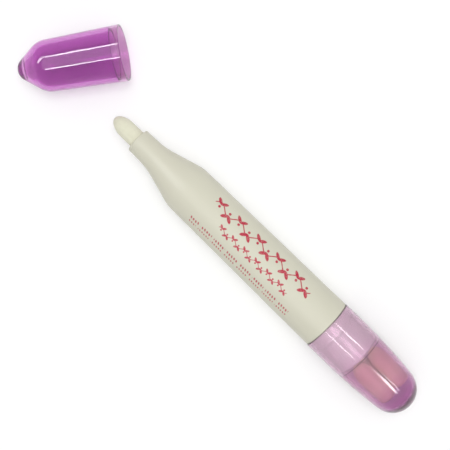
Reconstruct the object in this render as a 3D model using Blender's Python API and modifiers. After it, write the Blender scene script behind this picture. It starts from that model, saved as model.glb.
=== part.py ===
"""A nail polish remover pen with its front cap taken off, lying on a surface.

The pen's axis runs along X, nib towards -X and tail towards +X, and +Z is up. The origin is on the
surface, under the middle of the tail cap's skirt, which is what the pen lies on. Metres.
"""

import math

import bpy

# Turned pieces: flats round the big mouldings and round the felt nibs
FLATS = 28
NIB_FLATS = 20
ARC_STEP = math.radians(15)
ARC_STEPS_LEAST = 3
REACH_SHARED = 0.49
REACH_ALONE = 0.98
DOME_STEPS = 10
BELLY_STEPS = 8
MERGE = 1e-6

# Clearances
SEAT_GAP = 0.0003
NIB_GAP = 0.0002
SNAP_GAP = 0.00012

# Felt nib, one in use and three spares
NIB_RADIUS = 0.00245
NIB_LENGTH = 0.0123
NIB_TIP_LENGTH = 0.0045
NIB_BACK_ROUND = 0.0012
NIB_PROTRUSION = 0.00835
SPARE_NIBS = 3
SPARE_TURN = math.radians(-40)

# Nose of the barrel, and the ribs in its bore that grip the nib
VENT_GAP = 0.00035
NOSE_WALL = 0.00066
NOSE_LENGTH = 0.00665
NOSE_DRAFT = 0.00014
NOSE_EDGE = 0.00035
NIB_RIBS = 4
NIB_RIB_WIDTH = 0.0006
NIB_RIB_SETBACK = 0.0008

# Cone and tube of the barrel
CONE_LENGTH = 0.0108
CONE_WALL = 0.00125
CONE_BLEND = 0.021
SHOULDER_BLEND = 0.012
BARREL_LENGTH = 0.0684
BARREL_WALL = 0.0012
BARREL_DRAFT = 0.00043
BARREL_EDGE = 0.0002
FINS = 4
FIN_WIDTH = 0.0008
FIN_LENGTH = 0.0065
FIN_INNER_RADIUS = 0.0032
FIN_PAST_SHOULDER = 0.0006

# Wick and reservoir inside the barrel
WICK_RADIUS = 0.0014
WICK_IN_CORE = 0.008
WICK_EDGE = 0.00045
WICK_POINT_LENGTH = 0.0014
WICK_POINT_RADIUS = 0.00035
FILM_THICKNESS = 0.0003
FILM_SLIT = math.radians(14)
CORE_CHAMFER = 0.0005

# Plug that closes the barrel, with the spigot that carries the tail cap
PLUG_DEPTH = 0.006
PLUG_WALL = 0.001
PLUG_LEAD = 0.0005
PLUG_END_WALL = 0.0012
SPIGOT_LENGTH = 0.01145
SPIGOT_LEAD = 0.0006
BEAD_FROM_MOUTH = 0.003
BEAD_LENGTH = 0.0012
BEAD_HEIGHT = 0.00018

# Tail cap: a straight skirt, a belly that draws in, and a domed end round the spare nibs
TAIL_CAP_LENGTH = 0.0298
SKIRT_LENGTH = 0.006
TAIL_WALL = 0.00086
TAIL_DRAW_IN = 0.00091
TAIL_DOME_WALL = 0.00086
TAIL_END_WALL = 0.0013
TAIL_DOME_FULLNESS = 2.85
TAIL_LIP = 0.00015
LEDGE = 0.00015
SEAM_STEP = 0.0002

# Front cap: it seats on the barrel's cone, and its thin lip passes over the shoulder
FRONT_CAP_LENGTH = 0.0286
FRONT_CAP_WALL = 0.00125
FRONT_CAP_TAPER = 0.00062
FRONT_CAP_END_WALL = 0.0022
FRONT_CONE_LENGTH = 0.0066
FRONT_CONE_ANGLE = math.radians(37.7)
FRONT_SHOULDER_BLEND = 0.006
FRONT_TIP_ROUND = 0.0033
FRONT_LIP_WALL = 0.00055
FRONT_LIP_DEPTH = 0.0024
FRONT_LIP_FIT = 0.00009
FRONT_LIP_ROUND = 0.00012

# Where the front cap lies: its mouth's centre from the nib's tip, and the way it faces
FRONT_CAP_AHEAD = 0.010075
FRONT_CAP_ASIDE = 0.013941
FRONT_CAP_TURN = math.radians(53.23)

# Radii that follow: three nibs fit the tail cap, the tail cap sets the pen, the barrel the front cap
spare_circle = (NIB_RADIUS + NIB_GAP / 2) / math.sin(math.pi / SPARE_NIBS)
chamber_radius = spare_circle + NIB_RADIUS + NIB_GAP
tail_belly_radius = chamber_radius + TAIL_DOME_WALL
tail_radius = tail_belly_radius + TAIL_DRAW_IN
tail_bore = tail_radius - TAIL_WALL
spigot_radius = tail_bore - SEAT_GAP
barrel_rear_radius = tail_radius - SEAM_STEP
barrel_front_radius = barrel_rear_radius - BARREL_DRAFT
nib_bore = NIB_RADIUS + VENT_GAP
nose_radius = nib_bore + NOSE_WALL
chamber_front_radius = barrel_front_radius - BARREL_WALL
chamber_rear_radius = barrel_rear_radius - BARREL_WALL
plug_radius = chamber_rear_radius - SEAT_GAP
wick_bore = WICK_RADIUS + SEAT_GAP
sleeve_radius = chamber_front_radius - SEAT_GAP
core_radius = sleeve_radius - FILM_THICKNESS - SEAT_GAP
lip_bore = barrel_front_radius + FRONT_LIP_FIT
front_mouth_radius = lip_bore + FRONT_LIP_WALL
front_shoulder_radius = front_mouth_radius - FRONT_CAP_TAPER

# Places along X
flat_share = math.cos(math.pi / FLATS)
axis_height = tail_radius * flat_share
seam_x = -SKIRT_LENGTH / 2
barrel_rear_x = seam_x - SEAT_GAP / 2
nose_front_x = barrel_rear_x - BARREL_LENGTH
nib_tip_x = nose_front_x - NIB_PROTRUSION
nib_back_x = nib_tip_x + NIB_LENGTH
wick_front_x = nib_back_x + SEAT_GAP
shoulder_x = nose_front_x + NOSE_LENGTH + CONE_LENGTH
core_front_x = shoulder_x + FIN_PAST_SHOULDER + SEAT_GAP
plug_front_x = barrel_rear_x - PLUG_DEPTH
core_length = plug_front_x - SEAT_GAP - core_front_x
spigot_start_x = barrel_rear_x + SEAT_GAP
spigot_end_x = spigot_start_x + SPIGOT_LENGTH
ledge_x = spigot_end_x + SEAT_GAP
spare_tip_x = ledge_x
spare_shoulder_x = spare_tip_x + NIB_LENGTH - NIB_BACK_ROUND
tail_tip_x = seam_x + TAIL_CAP_LENGTH


def clear_scene():
    for thing in list(bpy.data.objects):
        bpy.data.objects.remove(thing, do_unlink=True)
    for group in list(bpy.data.collections):
        bpy.data.collections.remove(group)


def new_collection(name):
    group = bpy.data.collections.new(name)
    bpy.context.scene.collection.children.link(group)
    return group


def plastic(name, color, roughness, clearness=0.0):
    """A Principled material. clearness is the share of light that passes through."""
    material = bpy.data.materials.new(name)
    material.use_nodes = True
    shader = material.node_tree.nodes["Principled BSDF"]
    shader.inputs["Base Color"].default_value = (*color, 1.0)
    shader.inputs["Roughness"].default_value = roughness
    shader.inputs["Metallic"].default_value = 0.0
    shader.inputs["Transmission Weight"].default_value = clearness
    material.diffuse_color = (*color, 1.0 - 0.5 * clearness)
    return material


def rounded(corners):
    """A profile of (radius, along, round) corners, with each round corner made an arc.

    An arc takes all of an edge up to a sharp corner, and half of one up to another round corner.
    """
    path = []
    for index, (radius, along, blend) in enumerate(corners):
        if not blend:
            path.append((radius, along))
            continue
        before = corners[index - 1]
        after = corners[(index + 1) % len(corners)]
        back = (before[0] - radius, before[1] - along)
        ahead = (after[0] - radius, after[1] - along)
        reach_back = math.hypot(*back)
        reach_ahead = math.hypot(*ahead)
        back = (back[0] / reach_back, back[1] / reach_back)
        ahead = (ahead[0] / reach_ahead, ahead[1] / reach_ahead)
        inside = math.acos(max(-1.0, min(1.0, back[0] * ahead[0] + back[1] * ahead[1])))
        share_back = REACH_SHARED if before[2] else REACH_ALONE
        share_ahead = REACH_SHARED if after[2] else REACH_ALONE
        tangent = min(blend / math.tan(inside / 2), share_back * reach_back, share_ahead * reach_ahead)
        blend = tangent * math.tan(inside / 2)
        middle = (back[0] + ahead[0], back[1] + ahead[1])
        scale = blend / math.sin(inside / 2) / math.hypot(*middle)
        centre = (radius + middle[0] * scale, along + middle[1] * scale)
        start = math.atan2(along + back[1] * tangent - centre[1], radius + back[0] * tangent - centre[0])
        end = math.atan2(along + ahead[1] * tangent - centre[1], radius + ahead[0] * tangent - centre[0])
        sweep = (end - start + math.pi) % (2 * math.pi) - math.pi
        steps = max(ARC_STEPS_LEAST, math.ceil(abs(sweep) / ARC_STEP))
        for step in range(steps + 1):
            angle = start + sweep * step / steps
            path.append((centre[0] + blend * math.cos(angle), centre[1] + blend * math.sin(angle)))
    return path


def dome(radius, start, depth, fullness=2.0, lean=0.0):
    """Points from the rim of a round end to its pole: a superellipse on a wall that draws in by lean."""
    path = []
    for step in range(DOME_STEPS + 1):
        share = math.sin(math.pi / 2 * step / DOME_STEPS)
        height = max(0.0, 1 - share**fullness) ** 0.5
        path.append(((radius - lean * depth * share) * height, start + depth * share))
    path[-1] = (0.0, start + depth)
    return path


def belly(along):
    """The tail cap's outer radius: straight along the skirt, then drawing in as a parabola."""
    reach = spare_shoulder_x - seam_x - SKIRT_LENGTH
    share = max(0.0, along - SKIRT_LENGTH) / reach
    return tail_radius - TAIL_DRAW_IN * share**2


def outline_object(name, path, closed, group):
    """An object that holds a profile only, in its own XZ plane, with along running down -Z."""
    mesh = bpy.data.meshes.new(name)
    points = [(radius, 0.0, -along) for radius, along in path]
    edges = [(index, index + 1) for index in range(len(points) - 1)]
    if closed:
        edges.append((len(points) - 1, 0))
    mesh.from_pydata(points, edges, [])
    thing = bpy.data.objects.new(name, mesh)
    group.objects.link(thing)
    return thing


def turned(name, path, material, group, parent, x, closed=False, flats=FLATS):
    """A turned piece, with its own origin on the axis at x, and a flat underneath."""
    thing = outline_object(name, path, closed, group)
    thing.data.materials.append(material)
    thing.parent = parent
    thing.location = (0.0, 0.0, -x)
    thing.rotation_euler = (0.0, 0.0, math.pi / flats)
    screw = thing.modifiers.new("Turn", "SCREW")
    screw.axis = "Z"
    screw.angle = 2 * math.pi
    screw.steps = flats
    screw.render_steps = flats
    screw.use_merge_vertices = True
    screw.merge_threshold = MERGE
    screw.use_smooth_shade = True
    return thing


def fin(name, outline, width, angle, x, group, parent):
    """A flat fin that stands on a bore's wall. Its outline is in the plane of the pen's axis."""
    mesh = bpy.data.meshes.new(name)
    points = [(radius, 0.0, -along) for radius, along in outline]
    mesh.from_pydata(points, [], [list(range(len(points)))])
    thing = bpy.data.objects.new(name, mesh)
    group.objects.link(thing)
    thing.parent = parent
    thing.location = (0.0, 0.0, -x)
    thing.rotation_euler = (0.0, 0.0, angle)
    thing.hide_render = True
    thing.display_type = "WIRE"
    thick = thing.modifiers.new("Width", "SOLIDIFY")
    thick.thickness = width
    thick.offset = 0.0
    return thing


def make_barrel(group, cutters, axis, material):
    nose_rear_radius = nose_radius + NOSE_DRAFT
    seat = nib_back_x + SEAT_GAP - nose_front_x
    shoulder = NOSE_LENGTH + CONE_LENGTH
    cone_inner = nose_rear_radius - CONE_WALL
    corners = [
        (nib_bore, 0.0, 0.0),
        (nose_radius, 0.0, NOSE_EDGE),
        (nose_rear_radius, NOSE_LENGTH, CONE_BLEND),
        (barrel_front_radius, shoulder, SHOULDER_BLEND),
        (barrel_rear_radius, BARREL_LENGTH, BARREL_EDGE),
        (chamber_rear_radius, BARREL_LENGTH, 0.0),
        (chamber_front_radius, shoulder, 0.0),
        (cone_inner, NOSE_LENGTH, 0.0),
        (wick_bore, NOSE_LENGTH - CONE_WALL, 0.0),
        (wick_bore, seat, 0.0),
        (nib_bore, seat, 0.0),
    ]
    barrel = turned("barrel", rounded(corners), material, group, axis, nose_front_x, closed=True)
    ribs = bpy.data.collections.new("barrel_ribs")
    cutters.children.link(ribs)
    rib = [
        (NIB_RADIUS + NIB_GAP, NIB_RIB_SETBACK),
        (nib_bore + NOSE_WALL / 2, NIB_RIB_SETBACK),
        (nib_bore + NOSE_WALL / 2, seat + NOSE_WALL),
        (NIB_RADIUS + NIB_GAP, seat + NOSE_WALL),
    ]
    for index in range(NIB_RIBS):
        angle = 2 * math.pi * (index + 0.5) / NIB_RIBS
        fin(f"nib_rib_{index + 1}", rib, NIB_RIB_WIDTH, angle, nose_front_x, ribs, axis)
    slope = (barrel_front_radius - nose_rear_radius) / CONE_LENGTH
    fin_front = shoulder - FIN_LENGTH
    wall_front = barrel_front_radius - slope * FIN_LENGTH - CONE_WALL / 2
    stop = [
        (FIN_INNER_RADIUS, fin_front),
        (wall_front, fin_front),
        (barrel_front_radius - CONE_WALL / 2, shoulder),
        (barrel_front_radius - CONE_WALL / 2, shoulder + FIN_PAST_SHOULDER),
        (FIN_INNER_RADIUS, shoulder + FIN_PAST_SHOULDER),
    ]
    for index in range(FINS):
        angle = 2 * math.pi * index / FINS
        fin(f"stop_fin_{index + 1}", stop, FIN_WIDTH, angle, nose_front_x, ribs, axis)
    join = barrel.modifiers.new("Ribs", "BOOLEAN")
    join.operation = "UNION"
    join.operand_type = "COLLECTION"
    join.collection = ribs
    join.solver = "EXACT"
    return barrel


def nib_path():
    """A felt nib from its bullet tip to its rounded back."""
    tip = [(radius, -along) for radius, along in dome(NIB_RADIUS, 0.0, NIB_TIP_LENGTH)]
    tip = [(radius, along + NIB_TIP_LENGTH) for radius, along in reversed(tip)]
    back = rounded(
        [
            (NIB_RADIUS, NIB_TIP_LENGTH, 0.0),
            (NIB_RADIUS, NIB_LENGTH, NIB_BACK_ROUND),
            (0.0, NIB_LENGTH, 0.0),
        ]
    )
    return tip + back[1:]


def make_nib(group, axis, material):
    return turned("nib", nib_path(), material, group, axis, nib_tip_x, flats=NIB_FLATS)


def make_spare_nibs(group, axis, material):
    """Spare nibs round the pen's axis, tips towards the spigot, each lying along the chamber's wall."""
    lean = math.atan2(spigot_radius - LEDGE - chamber_radius, spare_shoulder_x - ledge_x)
    body = NIB_LENGTH - NIB_BACK_ROUND
    tip_circle = spare_circle + body * math.tan(lean)
    for index in range(SPARE_NIBS):
        angle = SPARE_TURN + 2 * math.pi * index / SPARE_NIBS
        holder = bpy.data.objects.new(f"spare_nib_{index + 1}_place", None)
        group.objects.link(holder)
        holder.parent = axis
        holder.location = (tip_circle * math.cos(angle), tip_circle * math.sin(angle), -spare_tip_x)
        holder.rotation_euler = (0.0, lean, angle)
        turned(f"spare_nib_{index + 1}", nib_path(), material, group, holder, 0.0, flats=NIB_FLATS)


def make_wick(group, axis, material):
    length = core_front_x + WICK_IN_CORE - wick_front_x
    corners = [
        (0.0, 0.0, 0.0),
        (WICK_RADIUS, 0.0, WICK_EDGE),
        (WICK_RADIUS, length - WICK_POINT_LENGTH, 0.0),
        (WICK_POINT_RADIUS, length, 0.0),
        (0.0, length, 0.0),
    ]
    return turned("transfer_wick", rounded(corners), material, group, axis, wick_front_x, flats=NIB_FLATS)


def make_reservoir(group, axis, core_material, film_material):
    pocket = WICK_IN_CORE + SEAT_GAP
    corners = [
        (0.0, pocket, 0.0),
        (wick_bore, pocket, 0.0),
        (wick_bore, 0.0, 0.0),
        (core_radius - CORE_CHAMFER, 0.0, 0.0),
        (core_radius, CORE_CHAMFER, 0.0),
        (core_radius, core_length - CORE_CHAMFER, 0.0),
        (core_radius - CORE_CHAMFER, core_length, 0.0),
        (0.0, core_length, 0.0),
    ]
    turned("reservoir_core", rounded(corners), core_material, group, axis, core_front_x)
    wrap = [(sleeve_radius, 0.0), (sleeve_radius, core_length)]
    sleeve = turned("reservoir_sleeve", wrap, film_material, group, axis, core_front_x)
    sleeve.modifiers["Turn"].angle = 2 * math.pi - FILM_SLIT
    film = sleeve.modifiers.new("Film", "SOLIDIFY")
    film.thickness = FILM_THICKNESS
    film.offset = -1.0
    return sleeve


def make_end_plug(group, axis, material):
    """A cup that opens towards the reservoir. Its closed end is the spigot inside the tail cap."""
    shoulder = spigot_start_x - plug_front_x
    end = spigot_end_x - plug_front_x
    inner = plug_radius - PLUG_WALL
    bead = seam_x + BEAD_FROM_MOUTH - plug_front_x
    corners = [
        (0.0, end - PLUG_END_WALL, 0.0),
        (inner, end - PLUG_END_WALL, PLUG_END_WALL / 2),
        (inner, 0.0, 0.0),
        (plug_radius - PLUG_LEAD, 0.0, 0.0),
        (plug_radius, 2 * PLUG_LEAD, 0.0),
        (plug_radius, shoulder, 0.0),
        (spigot_radius, shoulder, 0.0),
        (spigot_radius, bead - BEAD_LENGTH / 2, 0.0),
        (spigot_radius + BEAD_HEIGHT, bead - BEAD_LENGTH / 6, 0.0),
        (spigot_radius + BEAD_HEIGHT, bead + BEAD_LENGTH / 6, 0.0),
        (spigot_radius, bead + BEAD_LENGTH / 2, 0.0),
        (spigot_radius, end - SPIGOT_LEAD, 0.0),
        (spigot_radius - SPIGOT_LEAD, end, 0.0),
        (0.0, end, 0.0),
    ]
    return turned("end_plug", rounded(corners), material, group, axis, plug_front_x)


def make_tail_cap(group, axis, material):
    """A cup whose mouth faces the barrel: the bore, its snap groove, the ledge and the nib chamber."""
    ledge = ledge_x - seam_x
    shoulder = spare_shoulder_x - seam_x
    groove = BEAD_HEIGHT + SNAP_GAP - SEAT_GAP + SNAP_GAP
    chamber_front = spigot_radius - LEDGE
    chamber_lean = (chamber_front - chamber_radius) / (shoulder - ledge)
    chamber_depth = TAIL_CAP_LENGTH - TAIL_END_WALL - shoulder
    inner = dome(chamber_radius, shoulder, chamber_depth, TAIL_DOME_FULLNESS, chamber_lean)
    mouth = rounded(
        [
            (chamber_front, ledge, 0.0),
            (tail_bore, ledge, 0.0),
            (tail_bore, BEAD_FROM_MOUTH + BEAD_LENGTH, 0.0),
            (tail_bore + groove, BEAD_FROM_MOUTH + BEAD_LENGTH / 2, 0.0),
            (tail_bore + groove, BEAD_FROM_MOUTH - BEAD_LENGTH / 2, 0.0),
            (tail_bore, BEAD_FROM_MOUTH - BEAD_LENGTH, 0.0),
            (tail_bore, 0.0, TAIL_LIP),
            (tail_radius, 0.0, TAIL_LIP),
            (tail_radius, SKIRT_LENGTH, 0.0),
        ]
    )
    reach = shoulder - SKIRT_LENGTH
    stations = [SKIRT_LENGTH + reach * step / BELLY_STEPS for step in range(1, BELLY_STEPS)]
    sides = [(belly(along), along) for along in stations]
    outer_lean = 2 * TAIL_DRAW_IN / reach
    outer_depth = TAIL_CAP_LENGTH - shoulder
    outer = dome(tail_belly_radius, shoulder, outer_depth, TAIL_DOME_FULLNESS, outer_lean)
    path = list(reversed(inner)) + mouth + sides + outer
    return turned("tail_cap", path, material, group, axis, seam_x)


def make_front_cap(group, holder, material):
    """A cup that lies off the pen. along runs from its closed tip to its mouth."""
    slope = math.tan(FRONT_CONE_ANGLE)
    tip_corner = front_shoulder_radius - FRONT_CONE_LENGTH * slope
    inside = FRONT_CAP_WALL / math.cos(FRONT_CONE_ANGLE)
    inner_tip = tip_corner + slope * FRONT_CAP_END_WALL - inside
    inner_shoulder = front_shoulder_radius - FRONT_CAP_WALL
    inner_corner = (inner_shoulder - tip_corner + inside) / slope
    step = FRONT_CAP_LENGTH - FRONT_LIP_DEPTH
    step_radius = front_mouth_radius - FRONT_CAP_WALL
    corners = [
        (0.0, 0.0, 0.0),
        (tip_corner, 0.0, FRONT_TIP_ROUND),
        (front_shoulder_radius, FRONT_CONE_LENGTH, FRONT_SHOULDER_BLEND),
        (front_mouth_radius, FRONT_CAP_LENGTH, FRONT_LIP_ROUND),
        (lip_bore, FRONT_CAP_LENGTH, FRONT_LIP_ROUND),
        (lip_bore, step, 0.0),
        (step_radius, step, 0.0),
        (inner_shoulder, inner_corner, FRONT_SHOULDER_BLEND - FRONT_CAP_WALL),
        (inner_tip, FRONT_CAP_END_WALL, FRONT_TIP_ROUND),
        (0.0, FRONT_CAP_END_WALL, 0.0),
    ]
    cap = turned("front_cap", rounded(corners), material, group, holder, 0.0)
    cap.location = (0.0, 0.0, FRONT_CAP_LENGTH)
    return cap


def front_cap_holder(group):
    """An empty at the mouth's centre, its Z towards the closed tip. The cap's lowest flat lies on z = 0."""
    run = FRONT_CAP_LENGTH - FRONT_CONE_LENGTH
    tilt = math.atan2(FRONT_CAP_TAPER * flat_share, run)
    height = front_mouth_radius * flat_share * math.cos(tilt)
    holder = bpy.data.objects.new("front_cap_lift", None)
    group.objects.link(holder)
    holder.location = (nib_tip_x - FRONT_CAP_AHEAD, FRONT_CAP_ASIDE, height)
    holder.rotation_euler = (0.0, -(math.pi / 2 + tilt), FRONT_CAP_TURN)
    return holder


def main():
    clear_scene()
    group = new_collection("nail_polish_remover_pen")
    cutters = new_collection("cutters")
    cutters.hide_render = True
    ivory = plastic("ivory_barrel", (0.70, 0.68, 0.55), 0.42)
    felt = plastic("felt", (0.80, 0.78, 0.62), 0.95)
    white = plastic("white_plug", (0.82, 0.80, 0.76), 0.40)
    fibre = plastic("reservoir_fibre", (0.78, 0.76, 0.70), 0.95)
    film = plastic("reservoir_film", (0.75, 0.76, 0.78), 0.20, 0.5)
    pale_purple = plastic("tail_cap_plastic", (0.55, 0.25, 0.45), 0.12, 0.8)
    deep_purple = plastic("front_cap_plastic", (0.40, 0.10, 0.42), 0.12, 0.8)

    axis = bpy.data.objects.new("pen_axis", None)
    group.objects.link(axis)
    axis.location = (0.0, 0.0, axis_height)
    axis.rotation_euler = (0.0, -math.pi / 2, 0.0)

    make_barrel(group, cutters, axis, ivory)
    make_nib(group, axis, felt)
    make_wick(group, axis, fibre)
    make_reservoir(group, axis, fibre, film)
    make_end_plug(group, axis, white)
    make_tail_cap(group, axis, pale_purple)
    make_spare_nibs(group, axis, felt)
    make_front_cap(group, front_cap_holder(group), deep_purple)


main()
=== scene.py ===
import math

import bpy
import numpy as np
from mathutils import Matrix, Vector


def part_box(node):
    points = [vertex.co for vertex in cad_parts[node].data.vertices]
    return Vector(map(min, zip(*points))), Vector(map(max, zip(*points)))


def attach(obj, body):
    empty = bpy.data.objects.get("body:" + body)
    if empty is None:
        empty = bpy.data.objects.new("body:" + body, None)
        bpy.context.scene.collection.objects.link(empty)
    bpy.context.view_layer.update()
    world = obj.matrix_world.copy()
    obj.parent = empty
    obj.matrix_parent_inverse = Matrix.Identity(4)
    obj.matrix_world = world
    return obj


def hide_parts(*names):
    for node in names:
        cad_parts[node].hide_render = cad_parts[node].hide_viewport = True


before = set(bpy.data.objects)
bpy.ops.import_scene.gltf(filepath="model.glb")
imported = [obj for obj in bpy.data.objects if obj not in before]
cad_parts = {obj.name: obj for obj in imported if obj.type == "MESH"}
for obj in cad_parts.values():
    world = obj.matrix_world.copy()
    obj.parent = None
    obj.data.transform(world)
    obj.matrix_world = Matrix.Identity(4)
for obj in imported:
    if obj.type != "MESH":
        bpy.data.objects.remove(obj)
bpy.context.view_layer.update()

# A nail polish remover pen with its front cap off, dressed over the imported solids.
# The pen's axis runs along X, nib to -X and tail to +X. The surface is z = 0.
# All dictionaries are in millimetres, apart from the floor's size and the lamps, which are in metres.

mm = 0.001
turnsRound = 128  # points round every turned skin but the nibs
arcSteps = 12     # steps round each rounded corner
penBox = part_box("barrel")
axisHeight = (penBox[0][2] + penBox[1][2]) / 2
print("frame loaded:", len(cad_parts), "nodes")


# Corners (radius, along, rounding) in millimetres become a smooth line in metres. Each corner is cut at
# rounding / tan(half its inner angle) along both edges, and an arc of that radius joins the two cuts.
# A cut takes nearly a whole edge at most, or half as much where the edge's other end is rounded too.
def roundedLine(corners, mostCut=0.98):
    corners = np.array(corners, float)
    points = corners[:, :2] * mm
    rounding = corners[:, 2] * mm
    back = np.roll(points, 1, 0) - points
    ahead = np.roll(points, -1, 0) - points
    reachBack = np.linalg.norm(back, axis=1)
    reachAhead = np.linalg.norm(ahead, axis=1)
    back = back / reachBack[:, None]
    ahead = ahead / reachAhead[:, None]
    half = np.arccos(np.clip((back * ahead).sum(1), -1, 1)) / 2
    shareBack = np.where(np.roll(rounding, 1) > 0, mostCut / 2, mostCut)
    shareAhead = np.where(np.roll(rounding, -1) > 0, mostCut / 2, mostCut)
    room = np.minimum(shareBack * reachBack, shareAhead * reachAhead)
    cut = np.minimum(rounding / np.tan(half), room)
    rounding = cut * np.tan(half)
    inward = back + ahead
    away = rounding / np.sin(half) / np.linalg.norm(inward, axis=1)
    centre = points + inward * away[:, None]
    start = points + back * cut[:, None] - centre
    end = points + ahead * cut[:, None] - centre
    first = np.arctan2(start[:, 1], start[:, 0])
    sweep = (np.arctan2(end[:, 1], end[:, 0]) - first + np.pi) % (2 * np.pi) - np.pi
    angle = first[:, None] + sweep[:, None] * np.linspace(0, 1, arcSteps + 1)
    swing = np.stack([np.cos(angle), np.sin(angle)], -1)
    return (centre[:, None] + rounding[:, None, None] * swing).reshape(-1, 2)


# A superellipse end: radius = (rim - lean * reach) * (1 - (reach / depth) ^ fullness) ^ 1/2, with the
# reach from 0 at the rim to depth at the pole.
def domeLine(rim, start, depth, fullness, lean, steps=40):
    share = np.sin(np.linspace(0, np.pi / 2, steps + 1))
    height = np.sqrt(np.clip(1 - share**fullness, 0, 1))
    return np.stack([(rim - lean * depth * share) * height, start + depth * share], 1) * mm


# The same line with points a step (in millimetres) apart and a pair close to the ends of each long
# edge, so that smooth shading keeps flat stretches flat. Doubled and crowded points are left out.
def evenLine(line, step, closed=False):
    same, crowded, guard = 1e-7, 2e-6, 0.05 * mm
    if closed:
        line = np.vstack([line, line[:1]])
    gap = np.linalg.norm(np.diff(line, axis=0), axis=1)
    line = line[np.r_[True, gap > same]]
    gap = np.linalg.norm(np.diff(line, axis=0), axis=1)
    reach = np.r_[0, np.cumsum(gap)]
    long = gap > 6 * guard
    paced = np.arange(0, reach[-1], step * mm)
    stations = np.unique(np.r_[reach, paced, reach[:-1][long] + guard, reach[1:][long] - guard])
    stations = stations[np.r_[True, np.diff(stations) > crowded]]
    line = np.stack([np.interp(stations, reach, line[:, 0]), np.interp(stations, reach, line[:, 1])], 1)
    return line[:-1] if closed else line


# A skin turned round an axis. Point (i, j) is at along[i] on the axis and radius[i, j] away from it,
# at angle 2 pi j / turns from up. An open line has a pole at each end, a closed one joins itself.
# Where the volume it holds comes out negative, all faces are turned outwards.
def turnedSkin(name, radius, along, place, closed=False, turns=turnsRound):
    angle = np.arange(turns) * 2 * np.pi / turns
    radius = radius if radius.ndim == 2 else radius[:, None] * np.ones(turns)
    along = along[:, None] * np.ones(turns)
    points = np.stack([along, radius * np.sin(angle), radius * np.cos(angle)], -1)
    rows = len(along)
    here = np.arange(rows * turns).reshape(rows, turns)
    after = np.roll(here, -1, 1)
    if closed:
        quads = np.stack([here, after, np.roll(after, -1, 0), np.roll(here, -1, 0)], -1).reshape(-1, 4)
        points = points.reshape(-1, 3)
        triangles = np.zeros((0, 3), int)
    else:
        quads = np.stack([here[1:-2], after[1:-2], after[2:-1], here[2:-1]], -1).reshape(-1, 4) - turns
        poles = np.array([[along[0, 0], 0, 0], [along[-1, 0], 0, 0]])
        points = np.vstack([points[1:-1].reshape(-1, 3), poles])
        count = (rows - 2) * turns
        ring, nextRing = here[0], after[0]
        lastRing, nextLast = here[rows - 3], after[rows - 3]
        head = np.stack([np.full(turns, count), nextRing, ring], 1)
        tail = np.stack([np.full(turns, count + 1), lastRing, nextLast], 1)
        triangles = np.vstack([head, tail])
    turn = np.array(place)
    points = points @ turn[:3, :3].T + turn[:3, 3]
    fan = np.vstack([triangles, quads[:, [0, 1, 2]], quads[:, [0, 2, 3]]])
    a, b, c = points[fan[:, 0]], points[fan[:, 1]], points[fan[:, 2]]
    if np.einsum("ij,ij->", a, np.cross(b, c)) < 0:
        quads, triangles = quads[:, ::-1], triangles[:, ::-1]
    mesh = bpy.data.meshes.new(name)
    mesh.from_pydata(points.tolist(), [], triangles.tolist() + quads.tolist())
    mesh.polygons.foreach_set("use_smooth", np.ones(len(mesh.polygons), bool))
    mesh.update()
    piece = bpy.data.objects.new(name, mesh)
    bpy.context.collection.objects.link(piece)
    return piece


# Places a turned skin along the pen, its along = 0 at x.
def onAxis(x):
    return Matrix.Translation((x, 0, axisHeight))


# Smooth uneven wobble between -1 and 1: the mean of a few sine waves over the turn and the length. Each
# goes round the turn a whole number of times, and all are drawn from one seed.
def wobble(seed, rows, turns, waves=5, mostRound=9, mostAlong=7):
    dice = np.random.default_rng(seed)
    v = np.linspace(0, 1, rows)[:, None]
    u = np.arange(turns)[None, :] / turns
    total = np.zeros((rows, turns))
    for wave in range(waves):
        around = dice.integers(1, mostRound + 1)
        lengthwise = dice.uniform(0.5, mostAlong)
        total += np.sin(2 * np.pi * (around * u + lengthwise * v + dice.uniform()))
    return total / waves


# Bumps of height 1 spread evenly round the turn. A point's height is 1.5 less its distance from a bump's
# middle, counted in half widths, and is kept between 0 and 1: it is 0.5 where the bump's width ends.
def spokes(count, width, radius, offset):
    angle = np.arange(turnsRound) * 2 * np.pi / turnsRound
    away = (angle - offset + np.pi / count) % (2 * np.pi / count) - np.pi / count
    return np.clip(1.5 - np.abs(away) * radius / (width / 2), 0, 1)


# A shader socket that takes arithmetic: each operator adds one Math node.
class Wire:
    def __init__(self, tree, socket):
        self.tree, self.socket = tree, socket

    def __add__(self, other):
        return self.tree.sum("ADD", self, other)

    def __sub__(self, other):
        return self.tree.sum("SUBTRACT", self, other)

    def __rsub__(self, other):
        return self.tree.sum("SUBTRACT", other, self)

    def __mul__(self, other):
        return self.tree.sum("MULTIPLY", self, other)

    def __truediv__(self, other):
        return self.tree.sum("DIVIDE", self, other)

    def __rtruediv__(self, other):
        return self.tree.sum("DIVIDE", other, self)

    __radd__ = __add__
    __rmul__ = __mul__

    def held(self):  # kept between 0 and 1
        return self.tree.sum("ADD", self, 0.0, clamp=True)

    def size(self):  # without its sign
        return self.tree.sum("ABSOLUTE", self)


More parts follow.
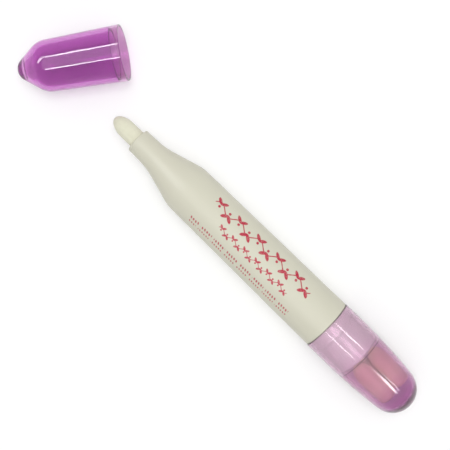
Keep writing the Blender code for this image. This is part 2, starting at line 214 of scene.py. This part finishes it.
# The nodes of a material or of the sky, round the shader that they start with.
class Tree:
    def __init__(self, owner, shader):
        owner.use_nodes = True
        self.nodes, self.links = owner.node_tree.nodes, owner.node_tree.links
        self.shader = self.nodes[shader]

    # Any node: its type, its settings, which are set first, and the values or wires of its sockets
    def add(self, kind, settings=None, sockets=None):
        node = self.nodes.new("ShaderNode" + kind)
        for key, value in (settings or {}).items():
            setattr(node, key, value)
        return self.feed(node, sockets or {})

    def feed(self, node, sockets):
        for key, value in sockets.items():
            if isinstance(value, Wire):
                self.links.new(value.socket, node.inputs[key])
            else:
                node.inputs[key].default_value = value
        return node

    # Arithmetic on values, as a Math node
    def sum(self, operation, first, second=0.0, clamp=False):
        node = self.add("Math", {"operation": operation, "use_clamp": clamp}, {0: first, 1: second})
        return Wire(self, node.outputs[0])

    # 1 for light that the camera sees straight, in a gloss or through clear plastic, 0 for the rest
    def seen(self):
        path = self.add("LightPath").outputs
        rays = ("Camera", "Glossy", "Transmission")
        camera, gloss, through = [Wire(self, path[f"Is {ray} Ray"]) for ray in rays]
        return (camera + gloss + through).held()


class Paint(Tree):
    def __init__(self, name, sockets):
        self.material = bpy.data.materials.new(name)
        super().__init__(self.material, "Principled BSDF")
        self.feed(self.shader, sockets)
        self.place = Wire(self, self.add("TexCoord").outputs["Object"])

    # Uneven value from 0 to 1 in lumps of a size in millimetres, stretched along an axis where asked.
    # Detail is how many times finer lumps are laid over them
    def noise(self, size, detail, stretch=(1, 1, 1)):
        scale = tuple(1 / (size * mm * share) for share in stretch)
        scaled = self.add("Mapping", {}, {"Vector": self.place, "Scale": scale})
        lumps = {"Vector": Wire(self, scaled.outputs[0]), "Scale": 1.0, "Detail": detail}
        return Wire(self, self.add("TexNoise", {}, lumps).outputs["Fac"])

    # Two colours mixed. A Mix node's sockets 0, 6 and 7 are its factor and colours, output 2 its colour
    def blend(self, share, first, second):
        first, second = [value if isinstance(value, Wire) else (*value, 1) for value in (first, second)]
        node = self.add("Mix", {"data_type": "RGBA"}, {0: share, 6: first, 7: second})
        return Wire(self, node.outputs[2])

    def axes(self):
        return [Wire(self, output) for output in self.add("SeparateXYZ", {}, {0: self.place}).outputs]

    # The look of the surface: its colour, its roughness, and a bump as deep as depth in millimetres
    def surface(self, color, roughness, height, depth):
        bump = self.add("Bump", {}, {"Height": height, "Distance": depth * mm})
        look = {"Base Color": color, "Roughness": roughness, "Normal": Wire(self, bump.outputs[0])}
        self.feed(self.shader, look)


# Gives a piece its finish, the body it rides on, its material slot and the node that it replaces.
def dress(piece, paint, body, node):
    piece.data.materials.clear()
    piece.data.materials.append(paint.material)
    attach(piece, body)
    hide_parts(node)


# Ivory moulded plastic, decorated with red leaf scrolls and rows of small ticks. Their places are along
# the barrel (x, start to end) and round its skin from the top (w).
ivory = {
    "color": (0.668, 0.652, 0.535), "shade": (0.635, 0.622, 0.505), "tone": 9, "skin": 7.0,
    "grain": 0.22, "grainRaised": 0.6, "roughness": 0.36, "roughened": 0.16,
    "waves": 2.4, "wavesRaised": 2, "relief": 0.012,
    "ink": (0.47, 0.012, 0.045), "inkLumps": 0.5, "inkLeast": 0.5, "inkUneven": 0.9,
    "inkGloss": 0.1, "inkRaised": 0.8,
}
scrolls = [
    {"start": -45.6, "end": -12.1, "w": 3.07, "wave": 6.7, "swing": 0.95, "stem": 0.24, "leafLong": 1.25,
     "leafWide": 0.50, "leafTurn": 0.70, "leafOut": 0.20, "leafPace": 0.713, "bud": 0.40},
    {"start": -40.5, "end": -16.4, "w": -1.20, "wave": 4.0, "swing": 0.50, "stem": 0.17, "leafLong": 0.72,
     "leafWide": 0.31, "leafTurn": 0.70, "leafOut": 0.12, "leafPace": 0.434, "bud": 0.26},
]
tickRows = [
    {"start": -47.6, "end": -12.8, "w": -4.77, "pace": 0.80, "long": 0.27, "tall": 0.46, "seed": 0.0},
    {"start": -47.4, "end": -12.7, "w": -6.17, "pace": 0.74, "long": 0.24, "tall": 0.36, "seed": 7.0},
]
ticks = {"slant": 0.25, "sway": 0.08, "swayPace": 5.3, "gapPace": 1.37, "gapShare": 0.93, "ink": 0.85}
inkEdges = {"stem": 9, "ellipse": 3, "gap": 6, "end": 5}  # the higher, the crisper


# A filled ellipse: 1 inside, 0 outside, with a soft edge.
def ellipse(u, v):
    return ((1 - (u * u + v * v)) * inkEdges["ellipse"]).held()


# 1 inside a stretch from start to end, with soft ends.
def stretch(along, start, end):
    return ((along - start) * inkEdges["end"]).held() * ((end - along) * inkEdges["end"]).held()


# The stem is a sine line. Each crest has a bud inside it, and a leaf that leans out on both sides of it.
def scrollInk(paint, along, across, c):
    local = along - c["start"]
    wave = paint.sum("SINE", local * (2 * math.pi / c["wave"]))
    side = paint.sum("SIGN", wave)
    lift = across - c["w"]
    ink = ((c["stem"] - (lift - wave * c["swing"]).size()) * inkEdges["stem"]).held()
    pace = paint.sum("FLOORED_MODULO", local, c["wave"] / 2) - c["wave"] / 4
    height = lift * side
    budHeight = height + c["swing"] / 4
    ink = paint.sum("MAXIMUM", ink, ellipse(pace / c["bud"], budHeight / c["bud"]))
    out = height - c["swing"] - c["leafOut"]
    for turn in (1, -1):
        cosine, sine = math.cos(c["leafTurn"]), math.sin(c["leafTurn"]) * turn
        place = pace - c["leafPace"] * turn
        u = (place * cosine + out * sine) / c["leafLong"]
        v = (out * cosine - place * sine) / c["leafWide"]
        ink = paint.sum("MAXIMUM", ink, ellipse(u, v))
    return ink * stretch(along, c["start"], c["end"])


# Slanted ticks in a row that sways a little, with gaps where a slow wave dips.
def tickInk(paint, along, across, c):
    local = along - c["start"]
    beat = paint.sum("FLOORED_MODULO", local, c["pace"]) - c["pace"] / 2
    lift = across - c["w"] - paint.sum("SINE", local * ticks["swayPace"] + c["seed"]) * ticks["sway"]
    ink = ellipse((beat + lift * ticks["slant"]) / c["long"], lift / c["tall"])
    slow = paint.sum("SINE", local * ticks["gapPace"] + c["seed"])
    gaps = ((slow + ticks["gapShare"]) * inkEdges["gap"]).held()
    return ink * gaps * stretch(along, c["start"], c["end"]) * ticks["ink"]


def ivoryPaint(c):
    paint = Paint("ivoryPlastic", {"IOR": 1.48})
    x, y, z = paint.axes()
    along = x / mm
    across = paint.sum("ARCTAN2", y, z - axisHeight) * c["skin"]
    inks = [scrollInk(paint, along, across, scroll) for scroll in scrolls]
    inks += [tickInk(paint, along, across, row) for row in tickRows]
    ink = inks[0]
    for more in inks[1:]:
        ink = paint.sum("MAXIMUM", ink, more)
    ink = ink * (paint.noise(c["inkLumps"], 2) * c["inkUneven"] + c["inkLeast"]).held()
    body = paint.blend(paint.noise(c["tone"], 2, (2.5, 1, 1)), c["shade"], c["color"])
    grain = paint.noise(c["grain"], 4)
    roughness = grain * c["roughened"] + c["roughness"] - ink * c["inkGloss"]
    waves = paint.noise(c["waves"], 2)
    height = grain * c["grainRaised"] + waves * c["wavesRaised"] + ink * c["inkRaised"]
    paint.surface(paint.blend(ink, body, c["ink"]), roughness, height, c["relief"])
    return paint


# Pressed felt: fine fibres along the nib in soft clumps. The spare nibs' felt is fresh and warmer.
felt = {
    "color": (0.83, 0.82, 0.66), "dark": (0.70, 0.685, 0.525), "fibre": 0.10, "fibreShare": 0.7,
    "clump": 0.8, "clumpShare": 0.5, "clumpRaised": 0.6, "relief": 0.05,
    "roughness": 0.86, "roughened": 0.12, "sheen": 0.25,
}
freshFelt = {**felt, "color": (0.94, 0.88, 0.64), "dark": (0.84, 0.76, 0.53)}


def feltPaint(name, c):
    paint = Paint(name, {"IOR": 1.3, "Sheen Weight": c["sheen"]})
    fibre = paint.noise(c["fibre"], 5, (5, 1, 1))
    clump = paint.noise(c["clump"], 3)
    pale = (fibre * c["fibreShare"] + clump * c["clumpShare"]).held()
    roughness = fibre * c["roughened"] + c["roughness"]
    height = fibre + clump * c["clumpRaised"]
    paint.surface(paint.blend(pale, c["dark"], c["color"]), roughness, height, c["relief"])
    return paint


# Clear tinted plastic. Part of the tint is depth: what one wall lets through becomes an absorption, so
# edges and thick ends are deeper. The rest is on the skin: it wavers between thin and thick along the
# flow lines of the moulding, and in each zone, from start to end along the cap's axis, it goes over to
# the zone's own colour and keeps it. The tail cap is a little hazy under a thin gloss coat.
clearTail = {
    "wall": 0.86, "through": (0.85, 0.70, 0.80), "thin": (1.0, 1.0, 1.0), "thick": (0.98, 0.965, 0.975),
    "origin": (0, 0), "axis": (1, 0),
    "zones": ((5, 11, (0.99, 0.85, 0.955)), (17, 24, (0.71, 0.37, 0.68))),
    "roughness": 0.12, "clear": 0.97, "coat": 0.7,
}
clearFront = {
    "wall": 1.25, "through": (0.94, 0.83, 0.935), "thin": (0.74, 0.34, 0.73), "thick": (0.67, 0.28, 0.67),
    "origin": (-89.975, 13.941), "axis": (0.5985, 0.8011),
    # The mouth's zone is paler where the lip is thinner. The tip's zone is painted light: a paler tint
    # that lifts the solid tip out of its shade.
    "zones": ((-2.8, -1.9, (0.74, 0.49, 0.70)), (-24.6, -26.4, (0.85, 0.57, 0.82))),
    "roughness": 0.035, "clear": 1.0, "coat": 0.0,
}
flow = {"lumps": 4, "haze": 1.2, "roughened": 0.03, "waves": 6, "relief": 0.004}


def clearPaint(name, c):
    paint = Paint(name, {"IOR": 1.49, "Transmission Weight": c["clear"], "Coat Weight": c["coat"]})
    tint = paint.blend(paint.noise(flow["lumps"], 3, (1.6, 1, 1)), c["thin"], c["thick"])
    x, y, z = paint.axes()
    along = (x / mm - c["origin"][0]) * c["axis"][0] + (y / mm - c["origin"][1]) * c["axis"][1]
    for start, end, color in c["zones"]:
        tint = paint.blend(((along - start) / (end - start)).held(), tint, color)
    roughness = paint.noise(flow["haze"], 3) * flow["roughened"] + c["roughness"]
    paint.surface(tint, roughness, paint.noise(flow["waves"], 1, (2, 1, 1)), flow["relief"])
    loss = -np.log(c["through"]) / (c["wall"] * mm)
    density = float(loss.max()) * 1.02  # a little over the strongest loss, so that no colour is zero
    color = (*(1 - loss / density).tolist(), 1)
    depth = paint.add("VolumeAbsorption", {}, {"Color": color, "Density": density})
    paint.feed(paint.nodes["Material Output"], {"Volume": Wire(paint, depth.outputs[0])})
    return paint


# Satin white plug, fibre of the wick and the reservoir, and the reservoir's clear film.
white = {
    "color": (0.91, 0.90, 0.88), "dark": (0.86, 0.85, 0.83), "tone": 3, "satin": 0.4, "grain": 0.5,
    "roughness": 0.58, "roughened": 0.1, "relief": 0.008,
}
fibres = {"color": (0.84, 0.83, 0.78), "dark": (0.68, 0.66, 0.60), "strand": 0.12, "relief": 0.08}
film = {
    "color": (0.92, 0.93, 0.94), "dark": (0.82, 0.83, 0.85), "haze": 1.6, "clear": 0.8,
    "roughness": 0.1, "roughened": 0.15, "relief": 0.02,
}


def plugPaint(c):
    paint = Paint("whitePlug", {"IOR": 1.49})
    color = paint.blend(paint.noise(c["tone"], 2), c["dark"], c["color"])
    roughness = paint.noise(c["satin"], 3) * c["roughened"] + c["roughness"]
    paint.surface(color, roughness, paint.noise(c["grain"], 3), c["relief"])
    return paint


def fibrePaint(c):
    paint = Paint("reservoirFibre", {})
    strand = paint.noise(c["strand"], 4, (14, 1, 1))
    paint.surface(paint.blend(strand, c["dark"], c["color"]), 1.0, strand, c["relief"])
    return paint


def filmPaint(c):
    paint = Paint("clearFilm", {"IOR": 1.5, "Transmission Weight": c["clear"]})
    haze = paint.noise(c["haze"], 3)
    roughness = haze * c["roughened"] + c["roughness"]
    paint.surface(paint.blend(haze, c["dark"], c["color"]), roughness, haze, c["relief"])
    return paint


paints = {
    "ivory": ivoryPaint(ivory),
    "felt": feltPaint("creamFelt", felt),
    "freshFelt": feltPaint("freshFelt", freshFelt),
    "tail": clearPaint("tailCapClear", clearTail),
    "front": clearPaint("frontCapClear", clearFront),
    "plug": plugPaint(white),
    "fibre": fibrePaint(fibres),
    "film": filmPaint(film),
}
print("materials made:", len(paints))

# Barrel: nose, cone and drafted tube in one closed line, turned. Ribs in the nib's seat and stop fins
# take their height off the inner radius.
barrel = {
    "length": 68.4, "rear": 7.164, "front": 6.734, "wall": 1.2, "step": 0.6,
    "noseLength": 6.65, "nose": 3.46, "noseRear": 3.60,
    "coneEnd": 17.45, "coneBlend": 21, "shoulderBlend": 12,
    "nibBore": 2.80, "seat": 4.25, "seatInner": 2, "wickBore": 1.7, "coneInner": 2.35, "wickBoreEnd": 5.4,
    "ribs": 4, "ribWidth": 0.6, "ribHeight": 0.15, "ribStart": 0.8,
    "fins": 4, "finWidth": 0.8, "finMiddle": 4.5, "finInner": 3.2, "finStart": 10.95, "finEnd": 18.05,
}


def makeBarrel(b):
    line = roundedLine([
        (b["nibBore"], 0, 0.08),
        (b["nose"], 0, 0.3),
        (b["noseRear"], b["noseLength"], b["coneBlend"]),
        (b["front"], b["coneEnd"], b["shoulderBlend"]),
        (b["rear"], b["length"], 0.2),
        (b["rear"] - b["wall"], b["length"], 0.06),
        (b["front"] - b["wall"], b["coneEnd"], 0.6),
        (b["coneInner"], b["noseLength"], 0.4),
        (b["wickBore"], b["wickBoreEnd"], 0.1),
        (b["wickBore"], b["seat"], 0.05),
        (b["nibBore"], b["seat"], 0.05),
    ])
    radius, along = evenLine(line, b["step"], closed=True).T
    skin = radius[:, None] * np.ones(turnsRound)
    inner = (np.arange(len(along)) > np.argmax(along)) | (radius < (b["nibBore"] + 0.05) * mm)
    seat = inner & (along > b["ribStart"] * mm) & (along < (b["seat"] - 0.02) * mm)
    seat = seat & (radius > b["seatInner"] * mm)
    ribs = spokes(b["ribs"], b["ribWidth"] * mm, b["nibBore"] * mm, np.pi / b["ribs"])
    skin -= seat[:, None] * ribs * b["ribHeight"] * mm
    stops = inner & (along > b["finStart"] * mm) & (along < b["finEnd"] * mm)
    fins = spokes(b["fins"], b["finWidth"] * mm, b["finMiddle"] * mm, 0.0)
    depth = np.clip(skin - b["finInner"] * mm, 0, None)
    skin -= stops[:, None] * fins * depth
    return turnedSkin("barrelShell", skin, along, onAxis(penBox[1][0] - b["length"] * mm), closed=True)


dress(makeBarrel(barrel), paints["ivory"], "pen", "barrel")

# Felt nib: a turned line of an ellipse quarter (radius * sine, tip * (1 - cosine)), a straight body and
# a rounded back, and the felt's own slight wobble on the radius.
nibShape = {
    "radius": 2.45, "length": 12.3, "tip": 4.5, "tipSteps": 34, "back": 1.2, "wobble": 0.02,
    "turns": 96, "step": 0.25, "seed": 3,
}


def makeNib(name, n, place, seed):
    share = np.linspace(0, np.pi / 2, n["tipSteps"])
    tip = np.stack([n["radius"] * np.sin(share), n["tip"] * (1 - np.cos(share))], 1) * mm
    back = roundedLine([
        (n["radius"], n["tip"], 0),
        (n["radius"], n["length"], n["back"]),
        (0, n["length"], 0),
    ])
    radius, along = evenLine(np.vstack([tip, back[arcSteps + 1:]]), n["step"]).T
    skin = radius[:, None] * np.ones(n["turns"])
    fade = np.clip(radius / (n["radius"] * mm), 0, 1)[:, None]
    skin += wobble(seed, len(along), n["turns"]) * n["wobble"] * mm * fade
    return turnedSkin(name, skin, along, place, turns=n["turns"])


feltNib = makeNib("feltNib", nibShape, onAxis(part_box("nib")[0][0]), nibShape["seed"])
dress(feltNib, paints["felt"], "nib", "nib")

# Spare nibs: three round the axis, a third of a turn apart, each leaning as the chamber's wall does,
# which draws in by drop over a length.
spares = {"circle": 2.944, "drop": 0.46, "over": 11.1, "turn": -40.0, "tipX": 8.9, "seed": 11}


def makeSpares(s):
    lean = math.atan2(s["drop"], s["over"])
    tipCircle = s["circle"] + (nibShape["length"] - nibShape["back"]) * math.tan(lean)
    for index in range(3):
        spin = Matrix.Rotation(-math.radians(s["turn"] + 120 * index), 4, "X")
        out = spin @ Matrix.Translation((0, 0, tipCircle * mm)) @ Matrix.Rotation(lean, 4, "Y")
        place = Matrix.Translation((s["tipX"] * mm, 0, axisHeight)) @ out
        piece = makeNib(f"spareNib{index + 1}", nibShape, place, s["seed"] + index)
        dress(piece, paints["freshFelt"], "tail_cap", f"spare_nib_{index + 1}")


makeSpares(spares)
print("barrel and nibs made")

# Wick: a turned rod with a chamfered front and a blunt point in the reservoir. Its radius dips by the
# groove's depth, as half of 1 less a cosine of the angle, once for each groove.
wick = {
    "radius": 1.4, "point": 0.35, "pointLength": 1.4, "edge": 0.45,
    "grooves": 14, "groove": 0.04, "step": 0.5,
}


def makeWick(w):
    low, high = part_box("transfer_wick")
    length = (high[0] - low[0]) / mm
    radius, along = evenLine(roundedLine([
        (0, 0, 0),
        (w["radius"], 0, w["edge"]),
        (w["radius"], length - w["pointLength"], 0.3),
        (w["point"], length, 0.1),
        (0, length, 0),
    ]), w["step"]).T
    grooves = np.cos(np.arange(turnsRound) * 2 * np.pi * w["grooves"] / turnsRound)
    fade = np.clip(radius / (w["radius"] * mm), 0, 1)[:, None]
    skin = radius[:, None] - fade * (1 - grooves) / 2 * w["groove"] * mm
    return turnedSkin("transferWick", skin, along, onAxis(low[0]))


dress(makeWick(wick), paints["fibre"], "pen", "transfer_wick")

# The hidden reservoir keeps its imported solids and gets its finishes
for node, paint in (("reservoir_core", "fibre"), ("reservoir_sleeve", "film")):
    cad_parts[node].data.materials.clear()
    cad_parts[node].data.materials.append(paints[paint].material)

# End plug: one turned line of a cup with a chamfered lead, a snap bead and a closed spigot.
plug = {
    "radius": 5.664, "lead": 0.5, "wall": 1.0, "endWall": 1.2, "shoulder": 6.3, "end": 17.75,
    "spigot": 6.204, "spigotLead": 0.6, "bead": 9.15, "beadLength": 1.2, "beadHeight": 0.18, "step": 0.9,
}


def makePlug(p):
    inner = p["radius"] - p["wall"]
    crest = p["spigot"] + p["beadHeight"]
    line = evenLine(roundedLine([
        (0, p["end"] - p["endWall"], 0),
        (inner, p["end"] - p["endWall"], 0.6),
        (inner, 0, 0.05),
        (p["radius"] - p["lead"], 0, 0.1),
        (p["radius"], 2 * p["lead"], 0.4),
        (p["radius"], p["shoulder"], 0.05),
        (p["spigot"], p["shoulder"], 0.08),
        (p["spigot"], p["bead"] - p["beadLength"] / 2, 0.3),
        (crest, p["bead"] - p["beadLength"] / 6, 0.3),
        (crest, p["bead"] + p["beadLength"] / 6, 0.3),
        (p["spigot"], p["bead"] + p["beadLength"] / 2, 0.3),
        (p["spigot"], p["end"] - p["spigotLead"], 0.4),
        (p["spigot"] - p["spigotLead"], p["end"], 0.2),
        (0, p["end"], 0),
    ]), p["step"])
    return turnedSkin("endPlug", line[:, 0], line[:, 1], onAxis(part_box("end_plug")[0][0]))


dress(makePlug(plug), paints["plug"], "pen", "end_plug")

# Tail cap: straight skirt, a belly whose radius draws in with the square of the way along it, then the
# dome at the same slope. Inside: the bore with its snap groove, which is shallower here than in the
# solid, the ledge, and the chamber that narrows round the spare nibs.
tailCap = {
    "length": 29.8, "skirt": 6.0, "radius": 7.364, "drawIn": 0.91, "shoulder": 23.0, "fullness": 2.85,
    "bore": 6.504, "ledge": 11.9, "chamberFront": 6.054, "chamber": 5.594, "endWall": 1.3, "edge": 0.12,
    "grooveAt": 3.0, "grooveLength": 2.4, "groove": 0.06, "grooveBlend": 20, "lip": 0.15,
    "bellySteps": 30, "step": 0.6,
}


def makeTailCap(t):
    lean = (t["chamberFront"] - t["chamber"]) / (t["shoulder"] - t["ledge"])
    innerDepth = t["length"] - t["endWall"] - t["shoulder"]
    inner = domeLine(t["chamber"], t["shoulder"], innerDepth, t["fullness"], lean)
    groove, half = t["grooveAt"], t["grooveLength"] / 2
    mouth = roundedLine([
        (t["chamber"], t["shoulder"], 0),
        (t["chamberFront"], t["ledge"], t["edge"]),
        (t["bore"], t["ledge"], t["edge"]),
        (t["bore"], groove + half, t["grooveBlend"]),
        (t["bore"] + t["groove"], groove, t["grooveBlend"]),
        (t["bore"], groove - half, t["grooveBlend"]),
        (t["bore"], 0, t["lip"]),
        (t["radius"], 0, t["lip"]),
        (t["radius"], t["skirt"], 0),
    ])
    share = np.linspace(0, 1, t["bellySteps"])
    reach = t["shoulder"] - t["skirt"]
    belly = np.stack([t["radius"] - t["drawIn"] * share**2, t["skirt"] + reach * share], 1) * mm
    outerLean = 2 * t["drawIn"] / reach
    rim = t["radius"] - t["drawIn"]
    outer = domeLine(rim, t["shoulder"], t["length"] - t["shoulder"], t["fullness"], outerLean)
    line = evenLine(np.vstack([inner[::-1], mouth, belly, outer]), t["step"])
    return turnedSkin("tailCapShell", line[:, 0], line[:, 1], onAxis(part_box("tail_cap")[0][0]))


dress(makeTailCap(tailCap), paints["tail"], "tail_cap", "tail_cap")

# Front cap: one turned line of a round tip, cone, shoulder and slow taper to the mouth, with a thin lip
# inside the mouth. It lies beside the nose on its taper, as its many-sided solid lies on one flat. The
# rim's centre is over mouth (x, y), and the cap opens towards turn, in degrees from X.
frontCap = {
    "length": 28.6, "wall": 1.25, "taper": 0.62, "endWall": 2.2, "coneLength": 6.6, "coneAngle": 37.7,
    "shoulderBlend": 6.0, "tipRound": 3.3,
    "lipBore": 6.824, "lipWall": 0.55, "lipDepth": 2.4, "lipRound": 0.2,
    "mouth": (-89.975, 13.941), "turn": 53.23, "sides": 28, "step": 0.6,
}


def makeFrontCap(c):
    mouthRadius = c["lipBore"] + c["lipWall"]
    shoulder = mouthRadius - c["taper"]
    slope = math.tan(math.radians(c["coneAngle"]))
    tip = shoulder - c["coneLength"] * slope
    thick = c["wall"] / math.cos(math.radians(c["coneAngle"]))
    innerTip = tip + slope * c["endWall"] - thick
    innerShoulder = shoulder - c["wall"]
    lipEnd = c["length"] - c["lipDepth"]
    line = evenLine(roundedLine([
        (0, 0, 0),
        (tip, 0, c["tipRound"]),
        (shoulder, c["coneLength"], c["shoulderBlend"]),
        (mouthRadius, c["length"], c["lipRound"]),
        (c["lipBore"], c["length"], c["lipRound"]),
        (c["lipBore"], lipEnd, 0.1),
        (mouthRadius - c["wall"], lipEnd, 0.15),
        (innerShoulder, (innerShoulder - tip + thick) / slope, c["shoulderBlend"] - c["wall"]),
        (innerTip, c["endWall"], c["tipRound"]),
        (0, c["endWall"], 0),
    ]), c["step"])
    flatShare = math.cos(math.pi / c["sides"])
    tilt = math.atan2(c["taper"] * flatShare, c["length"] - c["coneLength"])
    height = mouthRadius * flatShare * math.cos(tilt)
    place = Matrix.Translation((c["mouth"][0] * mm, c["mouth"][1] * mm, height * mm))
    place = place @ Matrix.Rotation(math.radians(c["turn"]), 4, "Z") @ Matrix.Rotation(-tilt, 4, "Y")
    place = place @ Matrix.Translation((-c["length"] * mm, 0, 0))
    return turnedSkin("frontCapShell", line[:, 0], line[:, 1], place)


dress(makeFrontCap(frontCap), paints["front"], "front_cap", "front_cap")

# The camera's place in millimetres and its turn in degrees, nearly straight down. Right and up are the
# picture's own, over the floor, and middle is the point of the pen at the picture's middle.
view = {
    "at": (-34.458, 7.578, 227.326), "turn": (-0.4359, 2.3604, 44.2543),
    "lens": 67.74, "sensor": 36.0, "clipStart": 5.0,
}
pictureRight = np.array([0.7158, 0.6983, 0.0])
pictureUp = np.array([-0.6983, 0.7158, 0.0])
middle = np.array([-0.0398, 0.0003, axisHeight])


def makeCamera(v):
    camera = bpy.data.objects.new("camera", bpy.data.cameras.new("camera"))
    bpy.context.collection.objects.link(camera)
    camera.location = [value * mm for value in v["at"]]
    camera.rotation_euler = [math.radians(value) for value in v["turn"]]
    camera.data.lens = v["lens"]
    camera.data.sensor_width = v["sensor"]
    camera.data.clip_start = v["clipStart"] * mm
    bpy.context.scene.camera = camera


makeCamera(view)

# Floor: a flat square grid of points under the pen. It keeps the shadow, and a glow that only the
# camera, gloss and clear plastic see brings it up to white.
ground = {
    "size": 0.8, "rows": 9, "drop": 0.05,
    "color": (0.78, 0.78, 0.78), "uneven": 0.985, "paper": 30, "roughness": 0.9, "glow": 0.27,
}


def makeGround(g):
    rows = g["rows"]
    spread = np.linspace(-g["size"] / 2, g["size"] / 2, rows)
    u, v = np.meshgrid(spread, spread, indexing="ij")
    low = np.full_like(u, -g["drop"] * mm)
    points = np.stack([u + middle[0], v + middle[1], low], -1).reshape(-1, 3)
    here = np.arange(rows * rows).reshape(rows, rows)
    quads = np.stack([here[:-1, :-1], here[1:, :-1], here[1:, 1:], here[:-1, 1:]], -1).reshape(-1, 4)
    mesh = bpy.data.meshes.new("ground")
    mesh.from_pydata(points.tolist(), [], quads.tolist())
    piece = bpy.data.objects.new("ground", mesh)
    bpy.context.collection.objects.link(piece)
    paint = Paint("paleGround", {"Roughness": g["roughness"], "Specular IOR Level": 0.0})
    darker = tuple(value * g["uneven"] for value in g["color"])
    color = paint.blend(paint.noise(g["paper"], 2), darker, g["color"])
    glow = paint.blend(paint.seen(), (0, 0, 0), (1, 1, 1))
    finish = {"Base Color": color, "Emission Color": glow, "Emission Strength": g["glow"]}
    paint.feed(paint.shader, finish)
    piece.data.materials.append(paint.material)


makeGround(ground)

# The sky lights at its own strength, and the camera, gloss and clear plastic see it white.
sky = {"strength": 0.63, "seen": 1.0}


def makeSky(s):
    world = bpy.data.worlds.new("studio")
    bpy.context.scene.world = world
    tree = Tree(world, "Background")
    strength = tree.seen() * (s["seen"] - s["strength"]) + s["strength"]
    tree.feed(tree.shader, {"Color": (1, 1, 1, 1), "Strength": strength})


makeSky(sky)

# Lamps hang a height over the pen and face its middle. Each stands (right, up) in the picture from it,
# per unit of that height, with its long side along (right, up), and glows with a brightness per area.
# The key is broad and soft, and gloss doesn't show it. The streak lamps are seen by gloss alone.
lampHeight = 0.60
keyLamp = {"toward": (0.05, 0.05), "size": (0.33, 0.33), "along": (1, 0), "glow": 4.6}
streakLamps = {
    "veil": {"toward": (-0.36, 0.04), "size": (0.15, 0.56), "along": (1, 0), "glow": 1.6},
    "capUpper": {"toward": (-0.44, 0.55), "size": (0.10, 0.07), "along": (1, 0.3), "glow": 19},
    "capHook": {"toward": (-0.82, 0.34), "size": (0.36, 0.12), "along": (1, 0.6), "glow": 16},
    "capLower": {"toward": (-0.305, -0.475), "size": (0.11, 0.055), "along": (1, 0.0), "glow": 18},
    "tailLower": {"toward": (-0.08, -0.465), "size": (0.075, 0.03), "along": (1, -0.2), "glow": 13},
    "tailUpper": {"toward": (0.64, 0.235), "size": (0.095, 0.035), "along": (1, 0.05), "glow": 13},
    "domeWide": {"toward": (0.43, -0.36), "size": (0.085, 0.12), "along": (1, 0.05), "glow": 12},
    "domeThin": {"toward": (0.66, -0.165), "size": (0.085, 0.03), "along": (1, -0.85), "glow": 14},
}


def makeLamp(name, lamp):
    data = bpy.data.lights.new(name, "AREA")
    data.shape = "RECTANGLE"
    data.size, data.size_y = lamp["size"]
    data.energy = lamp["glow"] * math.pi * lamp["size"][0] * lamp["size"][1]
    piece = bpy.data.objects.new(name, data)
    bpy.context.collection.objects.link(piece)
    offset = (pictureRight * lamp["toward"][0] + pictureUp * lamp["toward"][1]) * lampHeight
    back = np.array([offset[0], offset[1], lampHeight])
    at = middle + back
    back = back / np.linalg.norm(back)
    side = pictureRight * lamp["along"][0] + pictureUp * lamp["along"][1]
    side = side - back * (side @ back)
    side = side / np.linalg.norm(side)
    turn = Matrix(np.stack([side, np.cross(back, side), back], 1).tolist()).to_4x4()
    piece.matrix_world = Matrix.Translation(at.tolist()) @ turn
    return piece


makeLamp("key", keyLamp).visible_glossy = False
for name, lamp in streakLamps.items():
    piece = makeLamp(name, lamp)
    piece.visible_diffuse = False
    piece.visible_transmission = False

bpy.context.scene.view_settings.view_transform = "Standard"

# Light runs along inside the clear walls, over more bounces than the defaults
wallBounces = 24
bpy.context.scene.cycles.glossy_bounces = wallBounces
bpy.context.scene.cycles.transmission_bounces = wallBounces
bpy.context.scene.cycles.max_bounces = wallBounces
print("floor, lamps and camera made")
